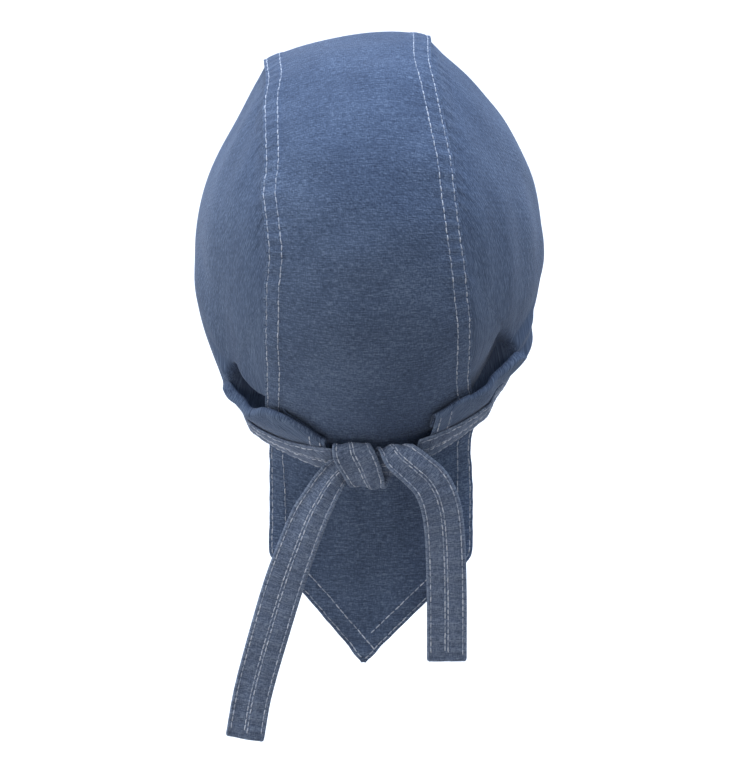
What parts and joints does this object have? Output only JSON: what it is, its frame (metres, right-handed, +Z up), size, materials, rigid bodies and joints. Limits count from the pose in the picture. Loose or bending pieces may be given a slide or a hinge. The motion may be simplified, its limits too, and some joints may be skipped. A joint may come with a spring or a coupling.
{
  "type": "chef head wrap",
  "caption": "Close-fitting denim chef's skull cap, tied at the nape: a centre panel that runs on as a pointed tail, two pleated side panels, a folded band and its knotted hanging ends.",
  "frame": {"origin": "where the top of the head touches the inside of the crown", "axes": "+Z up, +Y the back of the head with the knot and the tail, +X the wearer's left"},
  "size_m": [0.1624, 0.2017, 0.3203],
  "materials": {
    "denim": "matte",
    "denim_strip": "matte"
  },
  "bodies": {
    "root": {"centre_panel": "denim", "side_panel_left": "denim", "side_panel_right": "denim", "head_band": "denim_strip", "tie_left": "denim_strip", "tie_right": "denim_strip"}
  },
  "joints": []
}
